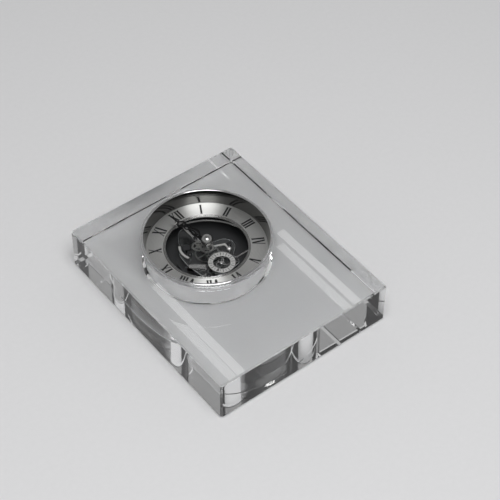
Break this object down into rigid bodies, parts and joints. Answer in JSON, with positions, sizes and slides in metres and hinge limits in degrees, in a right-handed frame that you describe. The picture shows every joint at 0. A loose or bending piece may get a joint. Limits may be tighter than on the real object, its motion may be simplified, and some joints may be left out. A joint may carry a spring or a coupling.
{
  "type": "skeleton desk clock in a clear crystal block",
  "caption": "Desk clock: a flat clear crystal block with a bored-through round insert that holds a silver Roman dial, black hands and an open skeleton quartz movement",
  "frame": {"origin": "the middle of the block's flat back, on which it lies", "axes": "+X points to 3 o'clock, +Y to 12 o'clock and +Z out of the dial; the block lies on its back"},
  "size_m": [0.15, 0.184, 0.0399],
  "materials": {
    "crystal": "polished optical crystal, clear and colourless",
    "clear_acrylic": "clear acrylic with polished edges",
    "black_rubber": "matt black rubber",
    "polished_steel": "mirror polished silver",
    "silvered_dial": "finely brushed silver",
    "steel": "plain bright steel",
    "blackened_metal": "satin black",
    "black_hands": "gloss black lacquer",
    "brass": "bright wheel brass",
    "black_plastic": "fine-textured black",
    "coil_wire": "enamelled copper wire",
    "magnet": "dark sintered magnet",
    "circuit_board": "solder-masked board"
  },
  "bodies": {
    "block": {"crystal_block": "crystal", "seat_ring": "black_rubber", "insert_case": "polished_steel", "background_plate": "blackened_metal", "spacer_ring": "blackened_metal", "dial_ring": "silvered_dial", "dial_lip": "polished_steel", "chapter_wall": "polished_steel", "bezel": "polished_steel", "movement_rear_plate": "blackened_metal", "movement_front_plate": "clear_acrylic", "pillar_1": "steel", "pillar_2": "steel", "pillar_3": "steel", "pillar_4": "steel", "pillar_5": "steel", "plate_screw_1": "steel", "plate_screw_2": "steel", "plate_screw_3": "steel", "plate_screw_4": "steel", "plate_screw_5": "steel", "carrier_arm_top": "polished_steel", "carrier_arm_right": "polished_steel", "carrier_arm_left": "polished_steel", "side_bridge": "polished_steel", "lower_bridge": "polished_steel", "lever": "polished_steel", "stud": "polished_steel", "stator": "steel", "coil_bobbin": "black_plastic", "coil_winding": "coil_wire", "coil_core": "steel", "circuit_board": "circuit_board", "rear_cover": "black_plastic", "cover_screw_1": "steel", "cover_screw_2": "steel", "cover_screw_3": "steel", "battery": "steel", "contact_top": "brass", "contact_side": "brass"},
    "minute": {"cannon_pinion": "steel", "minute_hand": "black_hands", "centre_cap": "polished_steel"},
    "hour": {"hour_wheel": "brass", "hour_hand": "black_hands"},
    "motion": {"motion_wheel": "brass"},
    "setting": {"setting_arbor": "steel", "setting_knob": "black_plastic"},
    "seconds": {"seconds_wheel": "brass", "seconds_disc": "polished_steel"},
    "third": {"third_wheel": "brass"},
    "centre": {"centre_wheel": "brass"},
    "step": {"step_wheel": "brass"},
    "rotor": {"rotor": "magnet"},
    "cell_cover": {"battery_cover": "black_plastic"}
  },
  "joints": [
    {"name": "minute_turn", "type": "hinge", "parent": "block", "child": "minute", "pos_m": [0, 0.024, 0.03], "axis": [0, 0, -1], "continuous": true},
    {"name": "hour_turn", "type": "hinge", "parent": "block", "child": "hour", "pos_m": [0, 0.024, 0.029], "axis": [0, 0, -1], "continuous": true},
    {"name": "motion_turn", "type": "hinge", "parent": "block", "child": "motion", "pos_m": [-0.00352, 0.0301, 0.025], "axis": [0, 0, -1], "continuous": true},
    {"name": "setting_turn", "type": "hinge", "parent": "block", "child": "setting", "pos_m": [-0.01114, 0.0345, 0.015], "axis": [0, 0, -1], "continuous": true},
    {"name": "seconds_turn", "type": "hinge", "parent": "block", "child": "seconds", "pos_m": [0, 0.0059, 0.02], "axis": [0, 0, -1], "continuous": true},
    {"name": "third_turn", "type": "hinge", "parent": "block", "child": "third", "pos_m": [0.00532, 0.0146, 0.018], "axis": [0, 0, -1], "continuous": true},
    {"name": "centre_turn", "type": "hinge", "parent": "block", "child": "centre", "pos_m": [0, 0.024, 0.02], "axis": [0, 0, -1], "continuous": true},
    {"name": "step_turn", "type": "hinge", "parent": "block", "child": "step", "pos_m": [-0.00717, 0.00527, 0.018], "axis": [0, 0, -1], "continuous": true},
    {"name": "rotor_turn", "type": "hinge", "parent": "block", "child": "rotor", "pos_m": [-0.01163, 0.00973, 0.018], "axis": [0, 0, -1], "continuous": true},
    {"name": "cell_cover_turn", "type": "hinge", "parent": "block", "child": "cell_cover", "pos_m": [0.008, 0.018, 0.0034], "axis": [0, 0, -1], "range_deg": [0, 60]}
  ],
  "couplings": [
    {"joint": "hour_turn", "follows": "minute_turn", "ratio": 0.083333},
    {"joint": "motion_turn", "follows": "minute_turn", "ratio": -0.33333},
    {"joint": "setting_turn", "follows": "minute_turn", "ratio": 0.5},
    {"joint": "third_turn", "follows": "seconds_turn", "ratio": -0.13333},
    {"joint": "centre_turn", "follows": "seconds_turn", "ratio": 0.016667},
    {"joint": "step_turn", "follows": "seconds_turn", "ratio": -5},
    {"joint": "rotor_turn", "follows": "seconds_turn", "ratio": 30}
  ]
}
